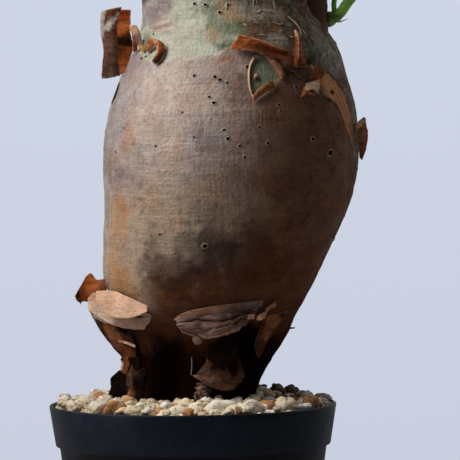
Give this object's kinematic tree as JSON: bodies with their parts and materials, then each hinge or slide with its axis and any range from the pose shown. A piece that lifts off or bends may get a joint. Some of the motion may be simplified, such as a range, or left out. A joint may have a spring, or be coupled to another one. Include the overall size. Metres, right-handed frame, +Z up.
{
  "type": "potted caudiciform succulent",
  "caption": "Swollen, bottle-shaped succulent trunk with peeling bark and small toothed leaves, standing in a round plastic nursery pot dressed with pumice.",
  "frame": {"origin": "centre of the pot's flat underside", "axes": "+Z up, -Y towards the plant's front, +X to the right seen from the front"},
  "size_m": [0.2088, 0.1358, 0.3866],
  "materials": {
    "pot_plastic": "matte black moulded plastic",
    "potting_mix": "dull, crumbly",
    "pumice": "dull, porous light stone, which weighs about what wood does",
    "trunk_skin": "thin smooth bark, slightly satin",
    "dead_bark": "dry papery bark",
    "leaf_green": "fleshy leaf with a waxy bloom"
  },
  "bodies": {
    "root": {"pot": "pot_plastic", "substrate": "potting_mix", "pumice_dressing": "pumice", "caudex": "trunk_skin", "bark_sheet_upper_left": "dead_bark", "bark_ribbon_upper_left": "dead_bark", "bark_curl_upper_left": "dead_bark", "bark_ledge_upper_right": "dead_bark", "bark_roll_upper_right": "dead_bark", "bark_lip_upper_right": "dead_bark", "bark_spike_upper_right": "dead_bark", "bark_scrap_upper_right": "dead_bark", "bark_edge_right": "dead_bark", "bark_ear_lower_left": "dead_bark", "bark_lobe_lower_left": "dead_bark", "bark_collar_lower_left": "dead_bark", "bark_strip_lower_left": "dead_bark", "bark_shard_base_left": "dead_bark", "bark_fold_lower_middle": "dead_bark", "bark_tongue_lower_right": "dead_bark", "bark_shard_base_middle": "dead_bark", "bark_ledge_back": "dead_bark", "bark_collar_back_right": "dead_bark", "bark_collar_back_left": "dead_bark", "bark_strip_back": "dead_bark", "leafy_shoot_left": "leaf_green", "leafy_shoot_right": "leaf_green", "leafy_shoot_side": "leaf_green"}
  },
  "joints": []
}
